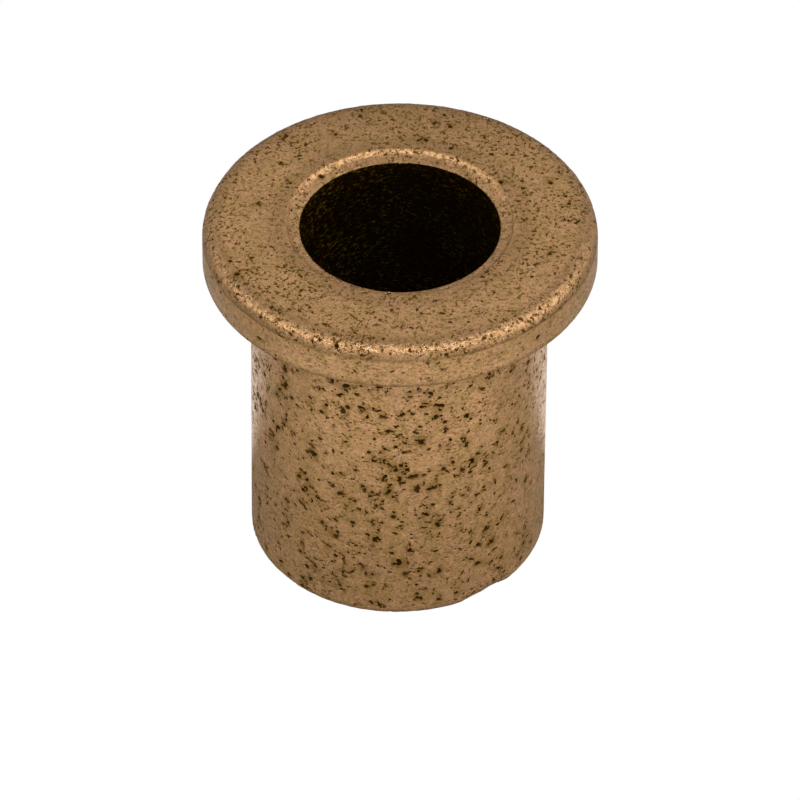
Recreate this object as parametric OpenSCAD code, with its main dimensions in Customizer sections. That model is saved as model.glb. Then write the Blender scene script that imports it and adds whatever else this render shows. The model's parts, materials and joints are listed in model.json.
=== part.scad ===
// Flanged sleeve bushing, pressed and sintered from bronze powder in one piece.
// It stands on its tail: the bore axis is Z, the flange's back face is at z = 0,
// the thrust face looks up (+Z) and the sleeve hangs down to the tail face.

/* [Bore] */
// Running diameter of the bore
bore_d = 6.4; // [4:0.01:7.8]
// Width of the chamfer at each mouth of the bore, across the end face
mouth_width = 0.47; // [0.2:0.01:0.6]
// Depth of the chamfer at each mouth of the bore, down the bore
mouth_depth = 0.25; // [0.1:0.01:0.6]

/* [Sleeve] */
// Outer diameter of the sleeve, with its allowance for a press fit
sleeve_d = 9.6; // [9:0.01:11]
// Length from the thrust face to the tail face
overall_length = 12.75; // [5:0.05:40]
// Radius of the rounded lead-in at the tail
tail_round = 0.33; // [0.1:0.01:0.5]

/* [Flange] */
// Outer diameter of the flange
flange_d = 12.7; // [12:0.05:20]
// Thickness of the flange, from its back face to the thrust face
flange_thickness = 1.58; // [1:0.01:4]
// Radius of the rounding at the thrust face's edge, which the upper punch forms
rim_round = 0.63; // [0.5:0.01:0.8]
// Height of that rounding: it meets the rim, which the die forms, in a crisp corner
rim_drop = 0.44; // [0.2:0.01:0.48]
// Leg of the small edge break between the rim and the back face
back_break = 0.03; // [0.02:0.01:0.2]
// Radius of the fillet where the flange's back face meets the sleeve
root_fillet = 0.3; // [0.1:0.01:0.4]

/* [Hidden] */
bronze = [0.62, 0.49, 0.34];
arc_steps = 96;
turn_steps = 180;

bore_r = bore_d / 2;
sleeve_r = sleeve_d / 2;
flange_r = flange_d / 2;
tail_z = flange_thickness - overall_length;

// How far in from the wall a rounding reaches, when it ends at the wall after
// dropping only part of its radius.
function round_reach(radius, drop) = sqrt(pow(radius, 2) - pow(radius - drop, 2));

// Section of the tube wall, with both bore mouths chamfered. x is radius and y is
// height.
module sleeve_section() {
    polygon([
        [bore_r, tail_z + mouth_depth],
        [bore_r + mouth_width, tail_z],
        [sleeve_r, tail_z],
        [sleeve_r, flange_thickness / 2],
        [bore_r, flange_thickness / 2]
    ]);
}

// Section of the flange, from the bore out to the rim.
module flange_section() {
    polygon([
        [bore_r, 0],
        [flange_r - back_break, 0],
        [flange_r, back_break],
        [flange_r, flange_thickness],
        [bore_r + mouth_width, flange_thickness],
        [bore_r, flange_thickness - mouth_depth]
    ]);
}

// What a rounding takes off a square corner. It leaves the flat end smoothly and
// ends at the wall. up is 1 for a top corner and -1 for a bottom one.
module corner_cut(radius, drop, corner_r, corner_z, up) {
    centre_r = corner_r - round_reach(radius, drop);
    centre_z = corner_z - up * radius;
    difference() {
        translate([centre_r, min(centre_z, centre_z + up * 2 * radius)])
            square([2 * radius, 2 * radius]);
        translate([centre_r, centre_z])
            circle(r = radius, $fn = arc_steps);
    }
}

// The hollow fillet in the corner under the flange.
module root_section() {
    difference() {
        translate([sleeve_r - root_fillet, -root_fillet])
            square([2 * root_fillet, 2 * root_fillet]);
        translate([sleeve_r + root_fillet, -root_fillet])
            circle(r = root_fillet, $fn = arc_steps);
    }
}

// The whole bushing: one section turned round the bore axis.
module flanged_sleeve() {
    color(bronze)
        rotate_extrude($fn = turn_steps)
            difference() {
                union() {
                    sleeve_section();
                    flange_section();
                    root_section();
                }
                corner_cut(rim_round, rim_drop, flange_r, flange_thickness, 1);
                corner_cut(tail_round, tail_round, sleeve_r, tail_z, -1);
            }
}

flanged_sleeve();
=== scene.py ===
"""The look of a flanged sleeve bushing, pressed and sintered from bronze powder.

The CAD node gives the turned section. A finer skin is turned from that section here: the open pores, nicks
and chip are cut into its mesh, and one node material colours it and adds the finest specks. All lengths are
in millimetres until a mesh or the camera is made.
"""

import itertools
import json
import math
from collections import namedtuple

import bpy
import numpy as np
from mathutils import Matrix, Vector, noise
from mathutils.geometry import delaunay_2d_cdt


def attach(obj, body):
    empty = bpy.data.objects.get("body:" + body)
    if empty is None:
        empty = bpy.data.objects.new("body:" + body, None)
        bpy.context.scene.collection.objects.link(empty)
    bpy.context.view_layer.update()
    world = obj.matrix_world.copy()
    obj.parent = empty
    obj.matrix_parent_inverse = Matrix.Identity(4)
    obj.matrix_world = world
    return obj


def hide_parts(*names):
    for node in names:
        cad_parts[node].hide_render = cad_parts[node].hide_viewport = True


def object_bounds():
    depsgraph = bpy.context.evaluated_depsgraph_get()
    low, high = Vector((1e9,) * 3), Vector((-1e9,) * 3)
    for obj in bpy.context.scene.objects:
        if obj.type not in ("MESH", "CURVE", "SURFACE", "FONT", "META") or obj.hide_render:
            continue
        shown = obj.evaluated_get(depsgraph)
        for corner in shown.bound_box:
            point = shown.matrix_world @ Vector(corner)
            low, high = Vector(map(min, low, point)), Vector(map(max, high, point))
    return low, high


MM = 0.001
TURN = 2 * math.pi

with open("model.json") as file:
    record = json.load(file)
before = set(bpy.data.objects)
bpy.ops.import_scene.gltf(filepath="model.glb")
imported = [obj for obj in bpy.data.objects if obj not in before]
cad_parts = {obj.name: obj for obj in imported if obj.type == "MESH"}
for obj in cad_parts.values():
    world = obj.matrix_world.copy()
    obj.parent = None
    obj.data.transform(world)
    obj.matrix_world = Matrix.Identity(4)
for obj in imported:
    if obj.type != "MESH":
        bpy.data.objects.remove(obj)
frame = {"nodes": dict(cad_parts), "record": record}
cad_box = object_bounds()
tail_z, top_z = (corner.z / MM for corner in cad_box)
radii = {mount["name"]: mount["dims"].get("r_mm") for mount in frame["record"]["mounts"]}
bore_r, sleeve_r, rim_r = radii["bore"], radii["sleeve"], radii["flange_rim"]

rng = np.random.default_rng(41)


# ---------------------------------------------------------------- the turned section

RING_GAP = 0.055     # the closest that two rings of the skin may lie along the section
CORNER_CUT = 0.05    # how far a sharp corner is worn back
CUT_SHARE = 0.4      # how much of a short stretch beside the corner may be worn away
SHARP_TURN = 25      # degrees: a section corner that turns more than this is worn back
TABLE_STEP = 0.01    # the spacing of the section's tables
STRAIGHT = 0.99      # how squarely a wall faces outward, or a face up or down


def cad_section(node):
    """The rings of the CAD node's vertices as (radius, height) points, in order round the cut wall."""
    co = np.array([vertex.co for vertex in node.data.vertices]) / MM
    rings = np.unique(np.round(np.c_[np.hypot(co[:, 0], co[:, 1]), co[:, 2]], 3), axis=0)
    heart_r, heart_z = (bore_r + sleeve_r) / 2, top_z / 2
    return rings[np.argsort(np.arctan2(rings[:, 1] - heart_z, rings[:, 0] - heart_r))]


def worn(points):
    """Swaps each sharp corner of a closed section for a short curve, and thins out crowded points."""
    kept = []
    for before, corner, after in zip(np.roll(points, 1, 0), points, np.roll(points, -1, 0)):
        gap_in, gap_out = np.linalg.norm(corner - before), np.linalg.norm(after - corner)
        into, out = (corner - before) / gap_in, (after - corner) / gap_out
        if math.degrees(math.acos(min(1, into @ out))) > SHARP_TURN:
            start = corner - min(CORNER_CUT, CUT_SHARE * gap_in) * into
            end = corner + min(CORNER_CUT, CUT_SHARE * gap_out) * out
            kept += [start, (start + 2 * corner + end) / 4, end]
        elif not kept or np.linalg.norm(corner - kept[-1]) > RING_GAP:
            kept.append(corner)
    return np.array(kept)


class Section:
    """The closed section, opened half way down the bore, as tables along its length s.

    way is the conformal height: in (angle, way) the skin is mapped without local distortion, so a triangle
    that is well shaped there is well shaped on the part.
    """

    def __init__(self, points):
        opening = [bore_r, (top_z + tail_z) / 2]
        points = np.vstack([opening, points, opening])
        self.rings = np.r_[0, np.cumsum(np.linalg.norm(np.diff(points, axis=0), axis=1))]
        self.s = np.linspace(0, self.rings[-1], round(self.rings[-1] / TABLE_STEP))
        self.r = np.interp(self.s, self.rings, points[:, 0])
        self.z = np.interp(self.s, self.rings, points[:, 1])
        self.way = np.r_[0, np.cumsum(np.diff(self.s) * 2 / (self.r[1:] + self.r[:-1]))]
        self.out_r = np.gradient(self.z, self.s)
        self.out_z = -np.gradient(self.r, self.s)

    def at(self, name, s):
        """One table's value at each place along the section."""
        return np.interp(s, self.s, getattr(self, name))

    def wall(self, radius):
        """The places along the section where it runs straight up or down at one radius."""
        return self.s[(np.abs(self.r - radius) < TABLE_STEP / 2) & (np.abs(self.out_r) > STRAIGHT)]

    def face(self, height):
        """The places along the section where it runs straight in or out at one height."""
        return self.s[(np.abs(self.z - height) < TABLE_STEP / 2) & (np.abs(self.out_z) > STRAIGHT)]


section = Section(worn(cad_section(frame["nodes"]["flanged_sleeve"])))
s_end = section.rings[-1]


def point_at(angle, s, depth=0.0):
    """The place on the skin, or at a depth below it. Angle 0 is at +Y, at the back, on the skin's seam."""
    r = section.at("r", s) - depth * section.at("out_r", s)
    z = section.at("z", s) - depth * section.at("out_z", s)
    return np.stack([-r * np.sin(angle), r * np.cos(angle), z], axis=-1)


def noise_at(points, per_mm, seed=0.0):
    """Smooth noise from -1 to 1 at each point, with per_mm features in a millimetre."""
    shift = Vector((seed * 17.3, seed * -9.1, seed * 5.7))
    return np.array([noise.noise(Vector(p) * per_mm + shift) for p in points])


def layered(points, layers):
    """A sum of noises, each given by its share, its features per mm and its seed."""
    return sum(share * noise_at(points, per_mm, seed) for share, per_mm, seed in layers)


# ---------------------------------------------------------------- the surfaces

# spacing: the skin's mesh size; pores: open pores per square millimetre; size: their usual half length;
# shade: how dark they look, from 0 to 1; deep: their depth as a share of their half width.
Surface = namedtuple("Surface", "start end spacing pores size shade deep")
EDGE_STEEP = 0.60        # how far outward the rim's rounding faces where its cracked, brighter part ends


def surfaces():
    """The stretches of the section, in order, each with its own mesh size and porosity."""
    bore = section.wall(bore_r)
    bore_low, bore_high = bore[bore < s_end / 2][-1], bore[bore > s_end / 2][0]
    tail = section.face(tail_z)[[0, -1]]
    sleeve = section.wall(sleeve_r)[[0, -1]]
    seat = section.face(0)[[0, -1]]
    rim = section.wall(rim_r)[[0, -1]]
    thrust = section.face(top_z)[[0, -1]]
    steep_end = section.s[(section.s > rim[1]) & (section.out_r < EDGE_STEEP)][0]
    return {
        "bore_low": Surface(0, bore_low, 0.30, 1.0, 0.060, 0.6, 1.0),
        "tail_mouth": Surface(bore_low, tail[0], 0.12, 6.0, 0.045, 0.8, 1.0),
        "tail_face": Surface(*tail, 0.22, 7.0, 0.048, 1.0, 1.0),
        "tail_edge": Surface(tail[1], sleeve[0], 0.10, 12.0, 0.050, 0.9, 1.0),
        "sleeve": Surface(*sleeve, 0.25, 20.0, 0.053, 1.0, 1.1),
        "root": Surface(sleeve[1], seat[0], 0.14, 3.0, 0.040, 0.9, 1.0),
        "seat": Surface(*seat, 0.24, 6.0, 0.046, 1.0, 1.0),
        "back_edge": Surface(seat[1], rim[0], 0.10, 1.5, 0.040, 0.9, 0.8),
        "rim": Surface(*rim, 0.16, 8.0, 0.041, 1.0, 0.8),
        "rim_edge": Surface(rim[1], steep_end, 0.095, 18.0, 0.041, 1.0, 1.1),
        "face_edge": Surface(steep_end, thrust[0], 0.12, 15.0, 0.041, 0.9, 0.9),
        "face": Surface(*thrust, 0.18, 15.5, 0.044, 0.95, 0.8),
        "mouth": Surface(thrust[1], bore_high, 0.09, 14.0, 0.040, 1.0, 1.0),
        "bore_high": Surface(bore_high, s_end, 0.30, 1.0, 0.060, 0.6, 1.0),
    }


SURFACES = surfaces()


# ---------------------------------------------------------------- the open pores

Pore = namedtuple("Pore", "angle s long wide lean depth shade lobes")
SIZE_SPREAD = 0.38               # of the pores' sizes, as a log-normal sigma
SIZE_LIMITS = (0.030, 0.13)      # of their half lengths
WIDTHS = (0.35, 0.85)            # of their half widths, as shares of the half length
DEPTHS = (0.8, 1.3)              # spread of their depths
LOBES = (0.62, 1.25)             # reach of an outline's corners, as shares of the half length
CORNERS = {0.05: 5, 0.08: 6, 0.11: 8, math.inf: 10}    # of the outline of a pore, below each half length
SHADES = (0.6, 1.0)              # spread of how dark they look, before SHADE_CURVE
SHADE_CURVE = 0.6
LEVEL_SHARE = 0.45               # of pores that lie about level, round the part
LEVEL_SPREAD = 0.3               # of their lean, in radians
CHAIN_SHARE = 0.16               # of pores that open on into a crack
CHAIN_STEPS = (1.1, 1.7)         # from pore to pore in a crack, in half lengths
CHAIN_SIZES = (0.5, 0.9)         # of the pores that carry a crack on
CHAIN_BEND = 0.7                 # of a crack at each pore, in radians
BASE_CHANCE = 0.5                # that a candidate pore is kept
PATCHES = ((1.0, 0.45, 3), (0.5, 1.35, 4))    # of more and fewer pores: share, features per mm and seed
PATCHINESS = 0.32                # how many more or fewer
BUSY_ANGLE = 3.0                 # the side with the most pores, in radians
BUSY_SHARE = 0.22                # how many more pores that side has
CUT_MARGIN = 0.3                 # the stretch along the cut in the bore that has no pores
SEAM_REACH = 0.1                 # how near the seam a pore is copied across it, in radians


def star(corners):
    """The reach of an uneven, angular outline at its corners, as a share of its half length."""
    return rng.uniform(*LOBES, corners)


def new_pore(angle, s, long, surface, lean=None):
    """A pore of its own shape, level where lean is 0 and leaning at random where none is given."""
    wide = long * rng.uniform(*WIDTHS)
    if lean is None:
        lean = rng.normal(0, LEVEL_SPREAD) if rng.random() < LEVEL_SHARE else rng.uniform(0, math.pi)
    corners = next(count for limit, count in CORNERS.items() if long < limit)
    depth = wide * surface.deep * rng.uniform(*DEPTHS)
    shade = surface.shade * rng.uniform(*SHADES) ** SHADE_CURVE
    return Pore(angle % TURN, s, long, wide, lean, depth, shade, star(corners))


def chained(pore, size, surface):
    """The pores that carry one pore on into a crack, if any."""
    angle, s = pore.angle, pore.s
    found = []
    while rng.random() < CHAIN_SHARE:
        step = pore.long * rng.uniform(*CHAIN_STEPS)
        lean = pore.lean + rng.normal(0, CHAIN_BEND)
        angle += step * math.cos(lean) / section.at("r", s)
        s += step * math.sin(lean)
        pore = new_pore(angle, s, size * rng.uniform(*CHAIN_SIZES), surface, lean)
        found.append(pore)
    return found


def scatter(surface):
    """Open pores over one surface, in patches, some of them in chains that make short cracks."""
    widest = max(section.at("r", surface.start), section.at("r", surface.end))
    area = TURN * widest * (surface.end - surface.start)
    count = int(area * surface.pores / BASE_CHANCE)
    angle = rng.uniform(0, TURN, count)
    s = rng.uniform(surface.start, surface.end, count)
    long = np.clip(np.exp(rng.normal(math.log(surface.size), SIZE_SPREAD, count)), *SIZE_LIMITS)
    patch = layered(point_at(angle, s), PATCHES)
    chance = BASE_CHANCE * (1 + PATCHINESS * patch + BUSY_SHARE * np.cos(angle - BUSY_ANGLE))
    kept = rng.random(count) < chance * section.at("r", s) / widest
    found = []
    for place in zip(angle[kept], s[kept], long[kept]):
        pore = new_pore(*place, surface)
        found += [pore] + chained(pore, place[2], surface)
    return found


def all_pores():
    """Every pore, with a copy across the seam of each that lies near it."""
    pores = [pore for surface in SURFACES.values() for pore in scatter(surface)]
    pores = [pore for pore in pores if CUT_MARGIN < pore.s < s_end - CUT_MARGIN]
    low = [pore._replace(angle=pore.angle + TURN) for pore in pores if pore.angle < SEAM_REACH]
    high = [pore._replace(angle=pore.angle - TURN) for pore in pores if pore.angle > TURN - SEAM_REACH]
    return pores + low + high


# ---------------------------------------------------------------- the points of the skin

PORE_RING = 0.62         # where the second ring of points of a larger pore lies, as a share of its reach
PORE_RING_ABOVE = 6      # a pore with more corners than this has that ring
CLOSEST = 0.07           # the closest spacing of the points on a ring
ROW_JITTER = 0.2         # of the loose points, in mesh sizes
CREASE_STEPS = (-0.09, -0.055, -0.025, 0.03, 0.07)    # extra rings about the crease over the rim
CREASE_SPACING = 0.06
SEAM_SPACING = 0.06
CUT_POINTS = 180         # points round the cut in the bore
CELL = 0.0055            # the skin has one point at most in each cell, in (angle, way)
BORDER = 0.008           # the clear strip along the seam and the cut, in (angle, way)


def outline_points(pore, share, corners):
    """Points round a pore, at a share of its reach, as rows of (angle, s)."""
    turn = np.arange(corners) * TURN / corners
    own_turn = np.arange(len(pore.lobes)) * TURN / len(pore.lobes)
    reach = share * np.interp(turn, own_turn, pore.lobes, period=TURN)
    along, across = reach * pore.long * np.cos(turn), reach * pore.wide * np.sin(turn)
    du = along * math.cos(pore.lean) - across * math.sin(pore.lean)
    ds = along * math.sin(pore.lean) + across * math.cos(pore.lean)
    return np.c_[pore.angle + du / section.at("r", pore.s), pore.s + ds]


def pore_points(pore):
    """The skin's points for one pore: its outline, its middle and, in a larger one, a ring between."""
    corners = len(pore.lobes)
    rings = [outline_points(pore, 1.0, corners), [[pore.angle, pore.s]]]
    if corners > PORE_RING_ABOVE:
        rings.append(outline_points(pore, PORE_RING, corners - 2))
    return np.vstack(rings)


def ring_points(s, spacing):
    """One ring of points round the part, evenly spaced."""
    count = round(TURN * section.at("r", s) / spacing)
    angle = (np.arange(count) + rng.random()) * TURN / count
    return np.c_[angle, np.full(count, s)]


def grid_points():
    """Points that carry the smooth skin: a ring at each point of the section, and loose rows between."""
    rings, loose = [], []
    for low, high in zip(section.rings[:-1], section.rings[1:]):
        gap = high - low
        middle = (low + high) / 2
        spacing = next(surface.spacing for surface in SURFACES.values() if middle <= surface.end)
        rings.append(ring_points(low, min(spacing, max(CLOSEST, 1.5 * gap))))
        rows = round(gap / spacing)
        for row in range(1, rows):
            points = ring_points(low + gap * row / rows, spacing)
            jitter = rng.uniform(-ROW_JITTER, ROW_JITTER, points.shape)
            loose.append(points + jitter * spacing / [section.at("r", middle), 1])
    rings += [ring_points(SURFACES["rim"].end + step, CREASE_SPACING) for step in CREASE_STEPS]
    return np.vstack(rings[1:]), np.vstack(loose)


def border_points():
    """Matching points down both sides of the seam and along both sides of the cut in the bore."""
    s = np.linspace(0, s_end, int(s_end / SEAM_SPACING))
    angle = np.linspace(0, TURN, CUT_POINTS)
    sides = [np.c_[np.full(len(s), a), s] for a in (0.0, TURN)]
    ends = [np.c_[angle, np.full(len(angle), e)] for e in (0.0, s_end)]
    return np.vstack(sides + ends)


def skin_points(pores):
    """All points of the opened skin as rows of (angle, s), with none closer than a small cell."""
    rings, loose = grid_points()
    inner = np.vstack([rings] + [pore_points(pore) for pore in pores] + [loose])
    way = section.at("way", inner[:, 1])
    inside = (inner[:, 0] > BORDER) & (inner[:, 0] < TURN - BORDER)
    inside &= (way > BORDER) & (way < section.way[-1] - BORDER)
    points = np.vstack([border_points(), inner[inside]])
    cells = np.floor(np.c_[points[:, 0], section.at("way", points[:, 1])] / CELL).astype(int)
    first = np.unique(cells, axis=0, return_index=True)[1]
    return points[np.sort(first)]


def triangles(points):
    """The Delaunay triangles of the opened skin, as rows of three point indices."""
    flat = [Vector(p) for p in zip(points[:, 0], section.at("way", points[:, 1]))]
    found = delaunay_2d_cdt(flat, [], [], 0, 1e-9, True)
    source = np.array([ids[0] for ids in found[3]])
    return source[np.array(found[2])]


# ---------------------------------------------------------------- pits

BIN = 0.06               # the size of the bins that find the points near a pore, in (angle, way)
PIT_WALL = 0.38          # the width of a pore's sloping wall, in from its outline, as a share of its reach
SHADE_REACH = 1.5        # how far out a pore gives its shade to the points round it, in reaches
HALO_REACH = 3.2         # how far out a pore counts as crowding, in half lengths
HALO_FADE = 1.5          # how fast that fades, in half lengths
HALO_WIDTH = 0.04        # the half width of a pore that counts once
HALO_FULL = 3            # the count that makes a full halo


def binned(angle, way):
    """The indices of the points in each bin of the (angle, way) plane."""
    bins = {}
    for i, key in enumerate(zip((angle // BIN).astype(int), (way // BIN).astype(int))):
        bins.setdefault(key, []).append(i)
    return bins


def bins_near(bins, angle, way, reach):
    """The indices of all points in the bins within reach of a place."""
    columns = range(int((angle - reach) // BIN), int((angle + reach) // BIN) + 1)
    rows = range(int((way - reach) // BIN), int((way + reach) // BIN) + 1)
    near = [bins.get(key, []) for key in itertools.product(columns, rows)]
    return np.array(list(itertools.chain(*near)), int)


def pit_fields(points, pores):
    """How deep and how far inside a pore each point lies, that pore's shade, and how pores crowd it."""
    way = section.at("way", points[:, 1])
    bins = binned(points[:, 0], way)
    depth, inside, shade, halo = np.zeros((4, len(points)))
    for pore in pores:
        r, pore_way = section.at("r", pore.s), section.at("way", pore.s)
        near = bins_near(bins, pore.angle, pore_way, HALO_REACH * pore.long / r)
        du, ds = (points[near, 0] - pore.angle) * r, (way[near] - pore_way) * r
        along = (du * math.cos(pore.lean) + ds * math.sin(pore.lean)) / pore.long
        across = (ds * math.cos(pore.lean) - du * math.sin(pore.lean)) / pore.wide
        turn = np.arange(len(pore.lobes)) * TURN / len(pore.lobes)
        outline = np.interp(np.arctan2(across, along), turn, pore.lobes, period=TURN)
        reach = np.hypot(along, across) / outline
        fill = np.clip((1 - reach) / PIT_WALL, 0, 1)
        depth[near] = np.maximum(depth[near], pore.depth * fill)
        inside[near] = np.maximum(inside[near], fill)
        shade[near] = np.maximum(shade[near], pore.shade * (reach < SHADE_REACH))
        far = np.hypot(du, ds) / pore.long
        halo[near] += pore.shade * pore.wide / HALO_WIDTH * np.exp(-(far / HALO_FADE) ** 2)
    return depth, inside, shade, np.clip(halo / HALO_FULL, 0, 1)


# ---------------------------------------------------------------- wear, the crease, and painted shade about the rim

# Depths are in millimetres. A noise is given by its share, its features per mm and its seed.
LEAST_SLANT, FULL_SLANT = 0.15, 0.40    # of the skin, from level or upright, where wear starts and is full
RIPPLE = ((0.005, 0.7, 5),)             # of the whole skin
GRAIN_DEEP, GRAIN = 0.011, ((1.0, 6.0, 6),)     # of the worn edges

TAIL_MARGIN, TAIL_SOFT = 0.1, 0.3       # of the damaged stretch about the tail's edge
KNOCK_DEEP = 0.06
KNOCKS = ((1.3, 0.35, 7), (3.1, 0.30, 8))       # nicks: per mm, the noise above which they start, and seed
CHIP_DEEP, CHIP_SOFT = 0.14, 0.16
CHIP_ANGLE = (3.66, 3.92)               # the stretch of the tail's edge that is knocked flat, in radians
CHIP_LEAST, CHIP_NOISE = 0.8, ((0.4, 1.8, 9),)

# Painted shade: the crease over the rim and the rim's lower corner are darkened where shade falls.
CREASE_DEEP, CREASE_WIDE = 0.045, 0.045
CREASE_BELOW = 0.02                     # how far below the rim's upper corner the crease lies
CREASE_DARK = 1.2
CREASE_MEAN, CREASE_NOISE = 0.85, ((0.8, 0.9, 11), (0.5, 4.0, 12))
STEEP_DARK_BAND, STEEP_DARK_SOFT = 0.20, 0.08     # how far a darker band spreads from the crease over the steep edge above it
STEEP_DARK_SHARE = 0.35
UNDER_SHADE_BAND, UNDER_SHADE_SOFT = (-0.10, 0.03), 0.04    # the stretch about the rim's lower corner that gets painted shade
UNDER_SHADE_LEAST, UNDER_SHADE_UNEVEN = 0.35, 0.30

LAND_FROM, LAND_SHARE = 0.05, 0.70      # where across the mouth's chamfer its flat land starts and ends
LAND_DEEP = 0.07
EDGE_RING = ([5.60, 5.85, 6.10, 6.18], [0, 1, 1, 0])    # radii, and how dark the ring is at each
MOUTH_RING = ([3.66, 3.72, 3.95, 4.25, 4.42], [0, 1, 0.8, 0.65, 0])
RING_WANDER = ((0.05, 1.2, 13),)
SLEEVE_LEAN = 0.007                     # how far the sleeve leans to the left below the flange, per mm


def window(x, low, high, soft):
    """1 between low and high, falling to 0 over soft on each side."""
    return np.clip((x - low) / soft + 0.5, 0, 1) * np.clip((high - x) / soft + 0.5, 0, 1)


def edge_wear(points):
    """How much each point lies on a rounded or chamfered edge, from 0 to 1."""
    slant = np.minimum(np.abs(section.at("out_r", points[:, 1])), np.abs(section.at("out_z", points[:, 1])))
    return np.clip((slant - LEAST_SLANT) / (FULL_SLANT - LEAST_SLANT), 0, 1)


def crease(points):
    """The uneven crease where the punch and the die met, cut as a groove and darkened with painted shade, a
    darker band above it, and painted shade under the rim, from 0 to 1.
    """
    place = point_at(*points.T)
    rim = SURFACES["rim"]
    uneven = np.clip(CREASE_MEAN + layered(place, CREASE_NOISE), 0, 1)
    line = CREASE_DARK * np.exp(-((points[:, 1] - rim.end + CREASE_BELOW) / CREASE_WIDE) ** 2)
    band = STEEP_DARK_SHARE * window(points[:, 1], rim.end, rim.end + STEEP_DARK_BAND, STEEP_DARK_SOFT)
    over = np.maximum(line, band) * uneven
    low, high = (rim.start + edge for edge in UNDER_SHADE_BAND)
    under = window(points[:, 1], low, high, UNDER_SHADE_SOFT) * (UNDER_SHADE_LEAST + UNDER_SHADE_UNEVEN * uneven)
    return over, under


def knocked_tail(points, place):
    """How far the nicks and the chip of the tail's edge lie below the skin."""
    edge = SURFACES["tail_edge"]
    at_edge = window(points[:, 1], edge.start - TAIL_MARGIN, edge.end + TAIL_MARGIN, TAIL_SOFT)
    knocks = sum(np.clip(noise_at(place, per_mm, seed) - least, 0, 1) for per_mm, least, seed in KNOCKS)
    chip = window(points[:, 0], *CHIP_ANGLE, CHIP_SOFT) * (CHIP_LEAST + layered(place, CHIP_NOISE))
    return at_edge * (KNOCK_DEEP * knocks + CHIP_DEEP * chip)


def mouth_land(points):
    """How far the flat land at the foot of the mouth's chamfer lies below it."""
    mouth = SURFACES["mouth"]
    across = (mouth.end - points[:, 1]) / (mouth.end - mouth.start)
    return np.interp(across, [LAND_FROM, LAND_SHARE, 1.0], [0, LAND_DEEP, 0], left=0, right=0)


def relief(points, wear):
    """How far the skin lies below the turned section, pores apart."""
    place = point_at(*points.T)
    ripple = layered(place, RIPPLE)
    grain = GRAIN_DEEP * wear * (1 + layered(place, GRAIN))
    return ripple + grain + knocked_tail(points, place) + CREASE_DEEP * crease(points)[0] + mouth_land(points)


def darker_face_rings(points):
    """The two darker rings of the thrust face, near its outer edge and round the mouth."""
    place = point_at(*points.T)
    r = section.at("r", points[:, 1]) + layered(place, RING_WANDER)
    up = np.clip(section.at("out_z", points[:, 1]), 0, 1)
    return (np.interp(r, *EDGE_RING) + np.interp(r, *MOUTH_RING)) * up


# ---------------------------------------------------------------- the skin

SMOOTH_BELOW = 38        # degrees: a sharper edge than this is shaded as an edge
ON_WALL = 0.01           # how near a wall's radius a point counts as on it
IN_BORE = 0.02           # how far past the bore's radius a point counts as in it


def welded_skin(points):
    """The points with the seam and the cut in the bore closed up, and the welded index of each point."""
    closed = points.copy()
    closed[closed[:, 0] == TURN, 0] = 0
    closed[closed[:, 1] == s_end, 1] = 0
    welded, to_welded = np.unique(closed, axis=0, return_inverse=True)
    return welded, to_welded.reshape(-1)


def surface_fields(points):
    """What the material has to know about the place of each point."""
    r = section.at("r", points[:, 1])
    on_sleeve = np.abs(r - sleeve_r) < ON_WALL
    on_rim = np.abs(r - rim_r) < ON_WALL
    over, under = crease(points)
    return {
        "pressed_fit": on_sleeve,
        "burnished": on_sleeve | on_rim,
        "in_bore": r < bore_r + IN_BORE,
        "rim_shade": np.clip(over + under, 0, 1),
        "ring": darker_face_rings(points),
    }


def build_skin():
    """The whole skin as one closed mesh, with the fields that the material reads."""
    pores = all_pores()
    points = skin_points(pores)
    corners = triangles(points)
    welded, to_welded = welded_skin(points)

    pit, inside, shade, halo = pit_fields(welded, pores)
    wear = edge_wear(welded)
    place = point_at(welded[:, 0], welded[:, 1], pit + relief(welded, wear))
    place[:, 0] += SLEEVE_LEAN * np.clip(place[:, 2], None, 0)

    mesh = bpy.data.meshes.new("sintered_skin")
    mesh.from_pydata((place * MM).tolist(), [], to_welded[corners].tolist())
    mesh.shade_smooth()
    mesh.set_sharp_from_angle(angle=math.radians(SMOOTH_BELOW))
    fields = {"inside": inside, "shade": shade, "halo": halo, "wear": wear, **surface_fields(welded)}
    for name, values in fields.items():
        mesh.attributes.new(name, "FLOAT", "POINT").data.foreach_set("value", values.astype(np.float32))
    unrolled = np.c_[points[:, 0] / TURN, points[:, 1] / s_end][corners.reshape(-1)]
    mesh.uv_layers.new(name="OFBake").data.foreach_set("uv", unrolled.astype(np.float32).reshape(-1))
    skin = bpy.data.objects.new("sintered_bushing", mesh)
    bpy.context.scene.collection.objects.link(skin)
    return skin


skin = build_skin()


# ---------------------------------------------------------------- node graphs

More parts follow.
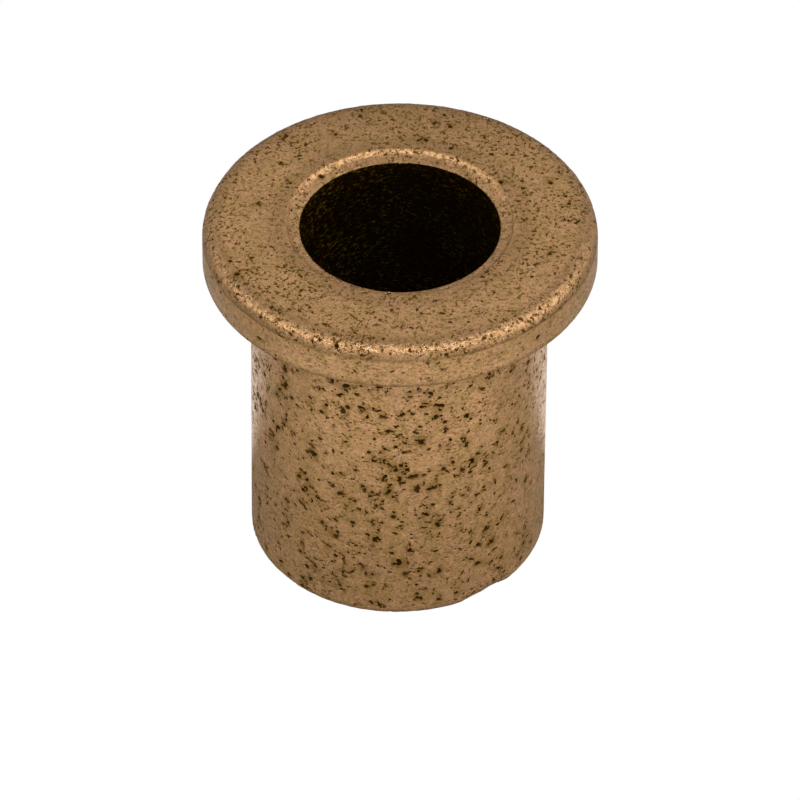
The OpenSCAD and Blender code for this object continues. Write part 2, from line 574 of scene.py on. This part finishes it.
class Graph:
    """Short calls for building one node tree."""

    def __init__(self, tree):
        self.tree = tree
        tree.nodes.clear()

    def node(self, kind, inputs=None, **settings):
        made = self.tree.nodes.new(kind)
        for name, value in settings.items():
            setattr(made, name, value)
        for name, value in (inputs or {}).items():
            if isinstance(value, bpy.types.NodeSocket):
                self.tree.links.new(value, made.inputs[name])
            else:
                made.inputs[name].default_value = value
        return made

    def sum(self, a, b):
        return self.node("ShaderNodeMath", {0: a, 1: b}, operation="ADD").outputs[0]

    def product(self, a, b):
        return self.node("ShaderNodeMath", {0: a, 1: b}, operation="MULTIPLY").outputs[0]

    def ramp(self, value, low, high, start=0.0, end=1.0):
        """start below low and end above high, with a smooth step between."""
        inputs = {"Value": value, "From Min": low, "From Max": high, "To Min": start, "To Max": end}
        return self.node("ShaderNodeMapRange", inputs, interpolation_type="SMOOTHSTEP").outputs["Result"]

    def mix(self, share, a, b):
        inputs = {"Factor": share, 6: a, 7: b}
        return self.node("ShaderNodeMix", inputs, data_type="RGBA").outputs[2]

    def shaded(self, colour, tone):
        """A colour times a grey tone."""
        grey = self.node("ShaderNodeCombineColor", {0: tone, 1: tone, 2: tone}).outputs[0]
        inputs = {"Factor": 1.0, 6: colour, 7: grey}
        return self.node("ShaderNodeMix", inputs, data_type="RGBA", blend_type="MULTIPLY").outputs[2]

    def scaled(self, vector, factors):
        return self.node("ShaderNodeVectorMath", {0: vector, 1: factors}, operation="MULTIPLY").outputs[0]

    def level(self, vector):
        """The level direction of a vector, of length 1."""
        flat = self.scaled(vector, (1, 1, 0))
        return self.node("ShaderNodeVectorMath", {0: flat}, operation="NORMALIZE").outputs[0]

    def dot(self, a, b):
        return self.node("ShaderNodeVectorMath", {0: a, 1: b}, operation="DOT_PRODUCT").outputs["Value"]

    def axis(self, vector, name):
        return self.node("ShaderNodeSeparateXYZ", {0: vector}).outputs[name]

    def noise(self, place, per_mm, detail=2.0, rough=0.5):
        inputs = {"Vector": place, "Scale": per_mm, "Detail": detail, "Roughness": rough}
        return self.node("ShaderNodeTexNoise", inputs).outputs["Fac"]

    def value(self, name):
        return self.node("ShaderNodeAttribute", attribute_name=name).outputs["Fac"]


# ---------------------------------------------------------------- the metal

ROSE_TAN = (0.682, 0.370, 0.172, 1)
OLIVE_TAN = (0.556, 0.324, 0.118, 1)
STAIN = (0.260, 0.128, 0.008, 1)
BRIGHT_METAL = (0.840, 0.485, 0.255, 1)
# also the colour of the painted shade about the rim
FINE_PORE_AND_RIM_SHADE = (0.110, 0.053, 0.0008, 1)
OPEN_PORE = (0.036, 0.018, 0.0004, 1)
# painted shade deep in the bore, and painted glints on its wall
BORE_SHADE = (0.006, 0.0025, 0.0001, 1)
BORE_GLINT = (0.150, 0.092, 0.006, 1)
METALLIC, WORN_METALLIC = 0.45, 0.65
SPECULAR = 0.3
RING_TONE = 0.80         # of the two darker rings of the thrust face
FIT_TONE = 1.10          # of the sleeve's wall
FAR_SIDE_SHADE = 0.71         # painted shade on the far side of the flange and of all the part behind it
HALO_STAIN = 0.6         # share of the stain where pores crowd
WORN_MOST = 0.6          # share of bright metal on a worn edge
FINE_MOST = 0.92         # share of the fine pores' colour in a speck
# how dark the painted shade about the rim gets
RIM_SHADE_MOST = 0.95
DUST_SHARE = 0.7
BURNISHED_FINE = 0.62    # share of the fine specks that a burnished wall keeps
BUMP_STRENGTH, BUMP_HEIGHT = 0.55, 0.02


def metal_tone(g, place):
    """How light the bare metal is: mottled, in faint level lines, darker on the two rings of the thrust face,
    and with painted shade over its far side.
    """
    banded = g.scaled(place, (0.6, 0.6, 9.0))
    tone = g.ramp(g.noise(place, 7.0, 5, 0.75), 0.3, 0.7, 0.82, 1.16)
    lines = g.ramp(g.noise(banded, 1.0, 3, 0.6), 0.3, 0.7, 0.95, 1.04)
    speckle = g.ramp(g.noise(place, 22.0, 1), 0.28, 0.72, 0.82, 1.16)
    tone = g.product(g.product(tone, lines), speckle)
    tone = g.product(tone, g.ramp(g.value("ring"), 0, 1, 1.0, RING_TONE))
    tone = g.product(tone, g.ramp(g.value("pressed_fit"), 0, 1, 1.0, FIT_TONE))
    # painted shade: darker towards the far side, from 2 mm behind the axis
    return g.product(tone, g.ramp(g.axis(place, "Y"), 2.0, 6.2, 1.0, FAR_SIDE_SHADE))


def worn_metal(g, place):
    """Where the edges are worn bright."""
    return g.product(g.value("wear"), g.ramp(g.noise(place, 7.0, 3), 0.4, 0.65, 0.0, WORN_MOST))


def fine_specks(g, place):
    """The pores too fine for the mesh: specks, dust and blots, fewer where a wall is burnished."""
    squat = g.scaled(place, (1.0, 1.0, 1.5))
    mirrored = g.scaled(place, (1.0, -1.0, 1.4))
    crowd = g.ramp(g.noise(place, 0.9, 2), 0.35, 0.6, 0.5, 1.0)
    specks = g.ramp(g.noise(squat, 7.5, 3, 0.6), 0.545, 0.62)
    dust = g.product(g.ramp(g.noise(place, 12.0, 1), 0.61, 0.69), DUST_SHARE)
    blots = g.ramp(g.noise(mirrored, 5.0, 3, 0.65), 0.60, 0.66)
    clean = g.ramp(g.value("burnished"), 0, 1, 1.0, BURNISHED_FINE)
    most = g.product(g.product(crowd, clean), FINE_MOST)
    return g.product(g.ramp(g.sum(g.sum(specks, blots), dust), 0, 1), most)


def open_pits(g, place):
    """How dark the open pores are, with ragged edges."""
    inside = g.value("inside")
    ragged = g.sum(inside, g.product(g.sum(g.noise(place, 22.0, 1), -0.5), 0.7))
    return g.product(g.product(g.ramp(ragged, 0.08, 0.36), g.ramp(inside, 0.02, 0.14)), g.value("shade"))


def bore_shade_and_glints(g, place):
    """The bore's wall, painted nearly black as the shade deep in the bore, with dull flecks as painted glints
    that thin out towards the right.
    """
    fleck = g.ramp(g.noise(g.scaled(place, (1, 1, 2.2)), 5.0, 4, 0.8), 0.51, 0.76)
    fleck = g.product(fleck, g.ramp(g.noise(place, 0.6, 2), 0.30, 0.60, 0.3, 1.0))
    # painted light: the flecks are brighter on the bore's left wall, where the light falls
    fleck = g.product(fleck, g.ramp(g.axis(place, "X"), -3.1, 0.5, 1.7, 0.75))
    return g.mix(fleck, BORE_SHADE, BORE_GLINT)


def metal_colour(g, place, worn_share, fine, pit):
    """All colours of the part, from the bare metal up to the open pores."""
    patches = g.ramp(g.noise(place, 2.2, 6, 0.7), 0.36, 0.64)
    colour = g.shaded(g.mix(patches, OLIVE_TAN, ROSE_TAN), metal_tone(g, place))
    stained = g.ramp(g.sum(g.value("halo"), g.noise(place, 3.0, 3)), 0.62, 1.25)
    colour = g.mix(g.product(stained, HALO_STAIN), colour, STAIN)
    colour = g.mix(worn_share, colour, BRIGHT_METAL)
    colour = g.mix(fine, colour, FINE_PORE_AND_RIM_SHADE)
    # painted shade in the crease over the rim and along its lower corner
    colour = g.mix(g.product(g.value("rim_shade"), RIM_SHADE_MOST), colour, FINE_PORE_AND_RIM_SHADE)
    # painted shade and glints in the bore
    colour = g.mix(g.value("in_bore"), colour, bore_shade_and_glints(g, place))
    return g.mix(pit, colour, OPEN_PORE)


def metal_roughness(g, place, holes):
    """Satin metal, smoother where it is burnished or worn and rough in the pores."""
    rough = g.ramp(g.noise(place, 2.0, 4), 0.3, 0.7, 0.32, 0.42)
    rough = g.sum(rough, g.product(g.value("burnished"), -0.06))
    rough = g.sum(rough, g.product(g.value("wear"), -0.10))
    return g.sum(rough, g.product(holes, 0.3))


def metal_grain(g, place, holes):
    """The finest grain of the pressed powder, stronger on the worn edges."""
    grain = g.sum(g.noise(place, 9.0, 3, 0.6), g.product(g.noise(place, 24.0, 2), 0.5))
    height = g.product(grain, g.sum(g.product(g.value("wear"), 1.3), 1.0))
    height = g.sum(height, g.product(holes, -0.6))
    inputs = {"Strength": BUMP_STRENGTH, "Distance": BUMP_HEIGHT * MM, "Height": height}
    return g.node("ShaderNodeBump", inputs).outputs[0]


def sintered_bronze():
    """Tan-brown sintered bronze: rose and olive patches, stains, open pores and bright worn edges, with
    painted shade about the rim, on the far side and in the bore, and painted glints in the bore.
    """
    material = bpy.data.materials.new("sintered_bronze_skin")
    material.use_nodes = True
    g = Graph(material.node_tree)
    metres = g.node("ShaderNodeTexCoord").outputs["Object"]
    place = g.scaled(metres, (1 / MM, 1 / MM, 1 / MM))
    worn_share = worn_metal(g, place)
    fine = fine_specks(g, place)
    pit = open_pits(g, place)
    holes = g.sum(pit, fine)
    bore = g.value("in_bore")
    metallic = g.ramp(worn_share, 0, WORN_MOST, METALLIC, WORN_METALLIC)
    surface = g.node("ShaderNodeBsdfPrincipled", {
        "Base Color": metal_colour(g, place, worn_share, fine, pit),
        "Metallic": g.product(metallic, g.ramp(g.sum(pit, bore), 0, 1, 1, 0)),
        "Roughness": metal_roughness(g, place, holes),
        "Specular IOR Level": g.ramp(g.sum(holes, bore), 0, 1, SPECULAR, 0.0),
        "Normal": metal_grain(g, place, holes),
    })
    g.node("ShaderNodeOutputMaterial", {"Surface": surface.outputs[0]})
    return material


skin.data.materials.append(sintered_bronze())
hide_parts("flanged_sleeve")
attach(skin, "root")


# ---------------------------------------------------------------- the studio

WHITE = (1, 1, 1, 1)

# A sheet of light in the sky: the azimuth of its middle (0 over the camera, 90 at the right), its half width,
# and its lower and upper edges, all in degrees, and its strength.
Sheet = namedtuple("Sheet", "middle half_width low high strength")
SHEETS = {
    "key_strip": Sheet(0, 52, 44, 53, 6.2),
    "left_wing": Sheet(-80, 32, 20, 58, 1.40),
    "right_wing": Sheet(80, 32, 18, 62, 1.65),
    "right_low": Sheet(80, 30, -2, 18, 1.00),
    "left_low": Sheet(-80, 30, -2, 20, 0.30),
    "front_low": Sheet(0, 50, -2, 14, 1.10),
    "back": Sheet(180, 70, 20, 46, 0.52),
}
SHEET_SOFT = 3           # degrees over which a sheet's edges fade
ROOM = 0.10              # the light between the sheets

# How strongly each part of the floor lights the bushing: in its own near shade, in front of it, at its sides,
# close behind it, and far away.
FLOOR_NEAR, FLOOR_FRONT, FLOOR_SIDE, FLOOR_BACK, FLOOR_FAR = 0.17, 0.90, 0.36, 1.25, 0.25
# Where one part turns into the next: by the cosine of the direction, which is 1 towards the camera, or by
# the distance from the axis in sleeve radii.
SIDE_TO_FRONT = (0.35, 0.65)
BACK_TO_SIDE = (-0.55, -0.15)
CLOSE_BEHIND = (2.4, 3.2)
FAR_AWAY = (5.0, 7.0)
SHADE_END, SHADE_END_BEHIND, SHADE_SOFT = 3.0, 1.6, 0.6
FLOOR_SIZE = 4.0         # metres from the middle to each side


def seen_or_lit(g, seen, lit):
    """One shader for what the camera sees and another for the light it gives."""
    camera_ray = g.node("ShaderNodeLightPath").outputs["Is Camera Ray"]
    return g.node("ShaderNodeMixShader", {0: camera_ray, 1: lit, 2: seen}).outputs[0]


def sheet_light(g, sheet, level, height):
    """The light of one sheet towards a direction of the sky, given its level direction and its height."""
    middle = math.radians(sheet.middle)
    facing = g.dot(level, (math.sin(middle), -math.cos(middle), 0))
    sides = [math.cos(math.radians(sheet.half_width + soft)) for soft in (SHEET_SOFT, -SHEET_SOFT)]
    low, high = ([math.sin(math.radians(edge + soft)) for soft in (-SHEET_SOFT, SHEET_SOFT)]
                 for edge in (sheet.low, sheet.high))
    across = g.ramp(facing, *sides)
    up = g.product(g.ramp(height, *low), g.ramp(height, *high, 1, 0))
    return g.product(g.product(across, up), sheet.strength)


def white_world():
    """White to the camera. A wide strip above the camera lights the part, with weaker sheets around it."""
    world = bpy.data.worlds.new("white_studio")
    bpy.context.scene.world = world
    world.use_nodes = True
    g = Graph(world.node_tree)
    direction = g.node("ShaderNodeTexCoord").outputs["Generated"]
    height = g.axis(direction, "Z")
    level = g.level(direction)
    strength = ROOM
    for sheet in SHEETS.values():
        strength = g.sum(strength, sheet_light(g, sheet, level, height))
    seen = g.node("ShaderNodeBackground", {"Color": WHITE, "Strength": 1.0}).outputs[0]
    lit = g.node("ShaderNodeBackground", {"Color": WHITE, "Strength": strength}).outputs[0]
    g.node("ShaderNodeOutputWorld", {"Surface": seen_or_lit(g, seen, lit)})


def floor_light(g):
    """How strongly the floor lights the part, by direction and by distance from the axis."""
    radii_per_metre = 1 / (sleeve_r * MM)
    metres = g.node("ShaderNodeTexCoord").outputs["Object"]
    flat = g.scaled(metres, (radii_per_metre, radii_per_metre, 0))
    away = g.node("ShaderNodeVectorMath", {0: flat}, operation="LENGTH").outputs["Value"]
    front = g.dot(g.level(flat), (0, -1, 0))
    pool = g.ramp(front, *SIDE_TO_FRONT, FLOOR_SIDE, FLOOR_FRONT)
    behind = g.ramp(front, *BACK_TO_SIDE, 1, 0)
    close_behind = g.product(behind, g.ramp(away, *CLOSE_BEHIND, 1, 0))
    pool = g.sum(pool, g.product(close_behind, FLOOR_BACK - FLOOR_SIDE))
    shade_end = g.sum(g.product(behind, SHADE_END_BEHIND - SHADE_END), SHADE_END)
    out_of_shade = g.ramp(away, g.sum(shade_end, -SHADE_SOFT), shade_end)
    pool = g.product(g.sum(pool, -FLOOR_NEAR), out_of_shade)
    near = g.ramp(away, *FAR_AWAY, 1, 0)
    return g.sum(g.product(g.sum(pool, FLOOR_NEAR - FLOOR_FAR), near), FLOOR_FAR)


def white_floor():
    """White to the camera. It lights the part less from close by, where the part stands in its own shade."""
    mesh = bpy.data.meshes.new("floor")
    corners = [(x * FLOOR_SIZE, y * FLOOR_SIZE, tail_z * MM) for x, y in ((-1, -1), (1, -1), (1, 1), (-1, 1))]
    mesh.from_pydata(corners, [], [(0, 1, 2, 3)])
    floor = bpy.data.objects.new("floor", mesh)
    bpy.context.scene.collection.objects.link(floor)
    material = bpy.data.materials.new("white_floor")
    material.use_nodes = True
    g = Graph(material.node_tree)
    seen = g.node("ShaderNodeEmission", {"Color": WHITE, "Strength": 1.0}).outputs[0]
    lit = g.node("ShaderNodeEmission", {"Color": WHITE, "Strength": floor_light(g)}).outputs[0]
    g.node("ShaderNodeOutputMaterial", {"Surface": seen_or_lit(g, seen, lit)})
    mesh.materials.append(material)


VIEW_ELEVATION = 39.87    # degrees above the thrust face's centre
VIEW_DISTANCE = 0.3162    # metres from that centre
AIM_BELOW = 1.04          # degrees that the camera is aimed below that centre
LENS = 444.0
CLIP = (0.01, 10)         # metres


def camera():
    """Looks down at the bushing from the front, from far enough to see it in a shallow perspective."""
    data = bpy.data.cameras.new("camera")
    data.lens = LENS
    data.clip_start, data.clip_end = CLIP
    cam = bpy.data.objects.new("camera", data)
    bpy.context.scene.collection.objects.link(cam)
    e = math.radians(VIEW_ELEVATION)
    cam.location = Vector((0, -math.cos(e), math.sin(e))) * VIEW_DISTANCE + Vector((0, 0, top_z * MM))
    cam.rotation_euler = (math.radians(90 - VIEW_ELEVATION - AIM_BELOW), 0, 0)
    bpy.context.scene.camera = cam


white_world()
white_floor()
camera()
bpy.context.scene.view_settings.view_transform = "Standard"
